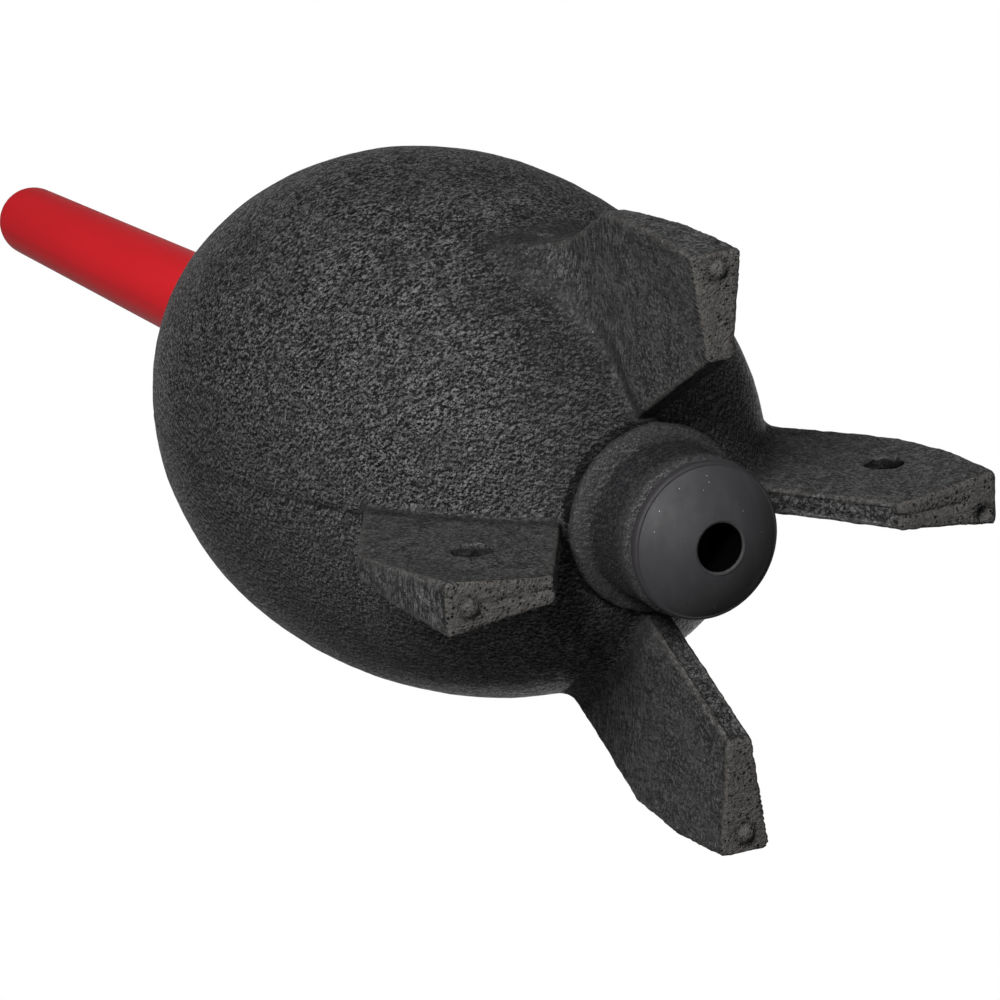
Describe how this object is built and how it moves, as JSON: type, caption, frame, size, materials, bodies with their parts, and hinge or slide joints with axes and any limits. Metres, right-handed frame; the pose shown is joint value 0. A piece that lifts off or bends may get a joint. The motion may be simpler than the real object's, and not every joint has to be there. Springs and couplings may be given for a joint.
{
  "type": "dust blower bulb",
  "caption": "Hand air blower: an egg-shaped rubber bulb standing on fins, with a tapered nozzle at the top and a one-way inlet plug between the fins.",
  "frame": {"origin": "centre of the plane that the feet of the fins stand on", "axes": "+Z along the blower's axis from the feet to the nozzle tip; the fins with cord holes lie along X"},
  "size_m": [0.062, 0.062, 0.19],
  "materials": {
    "textured_rubber": "moulded black rubber with a fine pebbled grain, satin",
    "nozzle_plastic": "smooth red plastic with a soft satin sheen",
    "smooth_rubber": "smooth satin black rubber with light dust",
    "seat_plastic": "natural translucent plastic, satin",
    "disc_rubber": "thin soft silicone sheet",
    "cage_plastic": "white moulded plastic"
  },
  "bodies": {
    "bulb": {"bulb_body": "textured_rubber"},
    "nozzle": {"nozzle": "nozzle_plastic"},
    "inlet_plug": {"inlet_plug": "smooth_rubber", "valve_seat": "seat_plastic", "valve_cage": "cage_plastic"},
    "valve_disc": {"valve_disc": "disc_rubber"}
  },
  "joints": [
    {"name": "nozzle_pull", "type": "slide", "parent": "bulb", "child": "nozzle", "axis": [0, 0, 1], "range_m": [0, 0.018]},
    {"name": "inlet_plug_pull", "type": "slide", "parent": "bulb", "child": "inlet_plug", "axis": [0, 0, -1], "range_m": [0, 0.013]},
    {"name": "valve_disc_lift", "type": "slide", "parent": "inlet_plug", "child": "valve_disc", "axis": [0, 0, 1], "range_m": [0, 0.001]}
  ]
}
